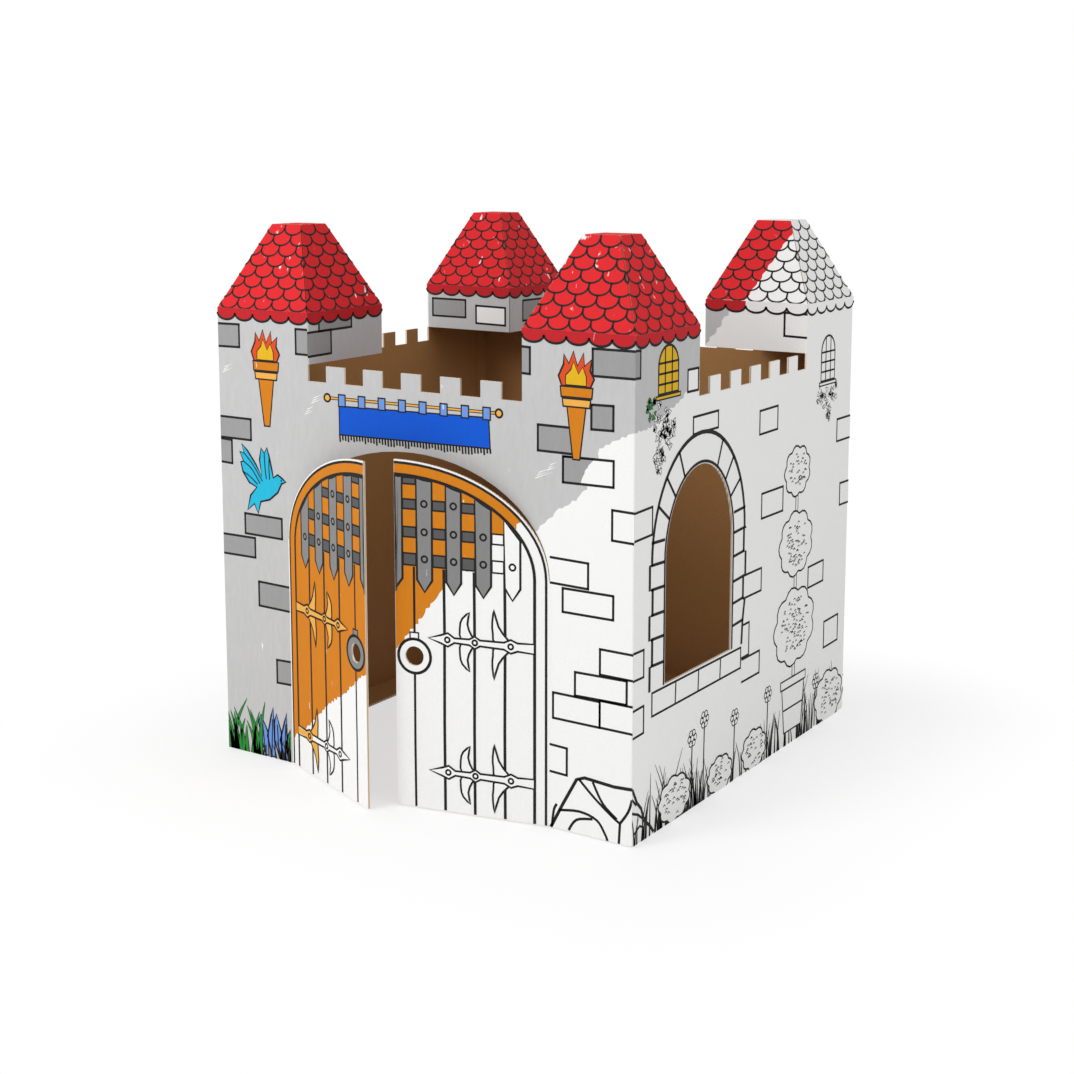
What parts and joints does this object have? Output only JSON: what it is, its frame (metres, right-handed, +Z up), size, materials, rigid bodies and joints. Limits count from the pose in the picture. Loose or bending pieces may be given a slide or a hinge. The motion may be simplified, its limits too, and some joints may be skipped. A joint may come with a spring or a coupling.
{
  "type": "cardboard play castle",
  "caption": "Child's play castle folded from white-faced corrugated board, with corner towers, pitched roofs, battlements, an arched double door and an arched side window.",
  "frame": {"origin": "on the floor, at the middle of the castle's footprint", "axes": "+Z up, the doors face -Y, the window wall faces +X"},
  "size_m": [0.91, 0.9885, 1.02],
  "materials": {
    "printed_board": "matte"
  },
  "bodies": {
    "castle": {"castle_body": "printed_board"},
    "left_leaf": {"left_door": "printed_board"},
    "right_leaf": {"right_door": "printed_board"}
  },
  "joints": [
    {"name": "left_door_hinge", "type": "hinge", "parent": "castle", "child": "left_leaf", "pos_m": [-0.2905, -0.44, 0.3], "axis": [0, 0, -1], "range_deg": [-22, 143]},
    {"name": "right_door_hinge", "type": "hinge", "parent": "castle", "child": "right_leaf", "pos_m": [0.2905, -0.44, 0.3], "axis": [0, 0, 1], "range_deg": [-12, 153]}
  ]
}
